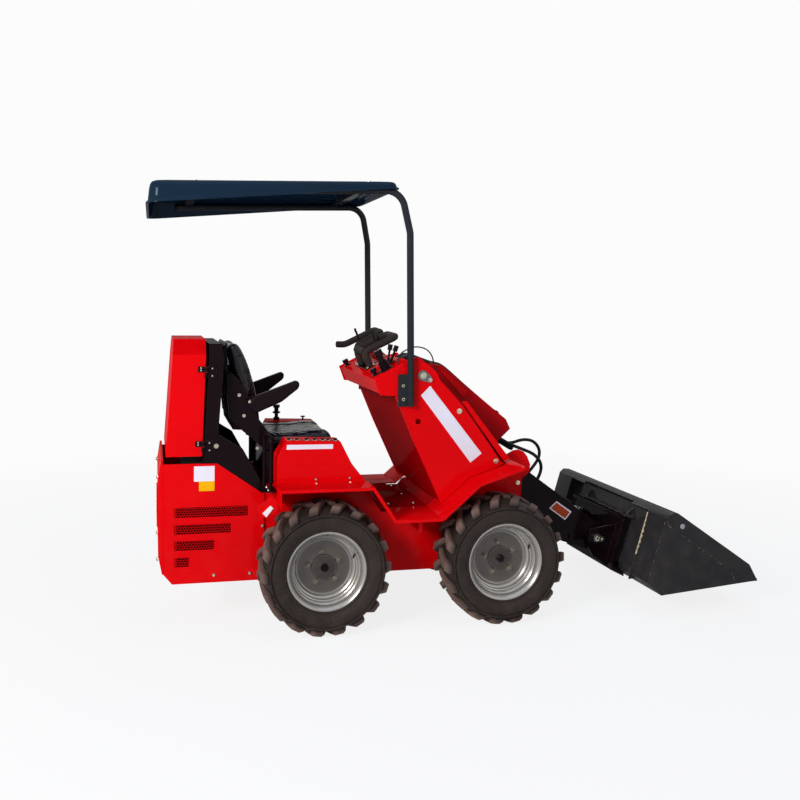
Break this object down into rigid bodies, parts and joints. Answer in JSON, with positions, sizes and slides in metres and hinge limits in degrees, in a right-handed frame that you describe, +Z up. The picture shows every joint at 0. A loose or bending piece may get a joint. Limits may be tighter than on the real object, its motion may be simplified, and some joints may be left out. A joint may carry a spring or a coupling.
{
  "type": "sit-on mini skid steer loader",
  "caption": "Small sit-on wheeled skid steer loader with red body panels, black canopy on bent posts, centre boom and wide bucket on a quick coupler.",
  "frame": {"origin": "on the ground, at the middle of the box round the whole machine", "axes": "+X forward, from the canopy's rear to the bucket's edge; +Y to the machine's left; +Z up"},
  "size_m": [2.767, 1.12, 1.938],
  "materials": {
    "red_paint": "gloss",
    "black_paint": "satin",
    "tyre": "matt",
    "rim_silver": "satin",
    "roof_plastic": "gloss",
    "vinyl": "satin",
    "foam": "matt",
    "hose": "satin",
    "black_plastic": "matt",
    "pin_steel": "satin",
    "rod_chrome": "polished",
    "lens_white": "gloss",
    "cast_grey": "matt"
  },
  "bodies": {
    "chassis": {"chassis_frame": "red_paint", "axle_stubs": "black_paint", "engine_bay_panels": "red_paint", "rear_panel": "red_paint", "engine_block": "cast_grey", "hood_frame": "black_paint", "fenders": "red_paint", "floor_plates": "red_paint", "side_pods": "red_paint", "seat_base": "black_paint", "seat_cushion": "vinyl", "seat_back": "vinyl", "armrests": "black_plastic", "tower_skins": "red_paint", "tower_inner_plates": "red_paint", "tower_rear_panel": "red_paint", "control_console": "red_paint", "control_handles": "foam", "control_levers": "black_plastic", "canopy_posts": "black_paint", "canopy_roof": "roof_plastic", "grab_handles": "black_paint", "lamp_tabs": "red_paint", "pivot_pins": "pin_steel", "side_grilles": "red_paint", "lamp_lenses": "lens_white", "fuel_cap_and_knob": "black_plastic"},
    "hood": {"hood": "red_paint"},
    "boom": {"boom_beam": "red_paint", "boom_knee": "black_paint", "knee_pin": "pin_steel", "boom_hoses": "hose"},
    "tool": {"coupler": "black_paint", "bucket": "black_paint"},
    "lift_barrel": {"lift_barrel": "black_paint"},
    "lift_rod": {"lift_rod": "rod_chrome"},
    "tilt_barrel": {"tilt_barrel": "black_paint"},
    "tilt_rod": {"tilt_rod": "rod_chrome"},
    "wheel_front_left": {"tyre_front_left": "tyre", "rim_front_left": "rim_silver"},
    "wheel_front_right": {"tyre_front_right": "tyre", "rim_front_right": "rim_silver"},
    "wheel_rear_left": {"tyre_rear_left": "tyre", "rim_rear_left": "rim_silver"},
    "wheel_rear_right": {"tyre_rear_right": "tyre", "rim_rear_right": "rim_silver"}
  },
  "joints": [
    {"name": "wheel_front_left", "type": "hinge", "parent": "chassis", "child": "wheel_front_left", "pos_m": [0.1585, 0.408, 0.284], "axis": [0, 1, 0], "continuous": true},
    {"name": "wheel_front_right", "type": "hinge", "parent": "chassis", "child": "wheel_front_right", "pos_m": [0.1585, -0.408, 0.284], "axis": [0, 1, 0], "continuous": true},
    {"name": "wheel_rear_left", "type": "hinge", "parent": "chassis", "child": "wheel_rear_left", "pos_m": [-0.6415, 0.408, 0.284], "axis": [0, 1, 0], "continuous": true},
    {"name": "wheel_rear_right", "type": "hinge", "parent": "chassis", "child": "wheel_rear_right", "pos_m": [-0.6415, -0.408, 0.284], "axis": [0, 1, 0], "continuous": true},
    {"name": "hood_hinge", "type": "hinge", "parent": "chassis", "child": "hood", "pos_m": [-1.1475, -0.288, 0.752], "axis": [0.038, 0, 0.9993], "range_deg": [0, 105]},
    {"name": "boom_lift", "type": "hinge", "parent": "chassis", "child": "boom", "pos_m": [-0.2015, 0, 1.102], "axis": [0, -1, 0], "range_deg": [-5, 80]},
    {"name": "bucket_tilt", "type": "hinge", "parent": "boom", "child": "tool", "pos_m": [0.7475, 0, 0.287], "axis": [0, -1, 0], "range_deg": [-90, 20]},
    {"name": "lift_cylinder_swing", "type": "hinge", "parent": "chassis", "child": "lift_barrel", "pos_m": [0.0185, 0, 0.3], "axis": [0, -1, 0], "range_deg": [-11.13, 2.13]},
    {"name": "lift_cylinder_stroke", "type": "slide", "parent": "lift_barrel", "child": "lift_rod", "axis": [-0.0617, 0, 0.9981], "range_m": [-0.0336, 0.3662]},
    {"name": "tilt_cylinder_swing", "type": "hinge", "parent": "boom", "child": "tilt_barrel", "pos_m": [0.3675, 0, 0.581], "axis": [0, -1, 0], "range_deg": [-2.53, 0.87]},
    {"name": "tilt_cylinder_stroke", "type": "slide", "parent": "tilt_barrel", "child": "tilt_rod", "axis": [0.8789, 0, -0.4771], "range_m": [-0.0292, 0.1165]}
  ],
  "couplings": [
    {"joint": "lift_cylinder_swing", "follows": "boom_lift", "ratio": -0.12},
    {"joint": "lift_cylinder_stroke", "follows": "boom_lift", "m_per_rad": 0.25409},
    {"joint": "tilt_cylinder_swing", "follows": "bucket_tilt", "ratio": 0.02375},
    {"joint": "tilt_cylinder_stroke", "follows": "bucket_tilt", "m_per_rad": -0.07146}
  ]
}
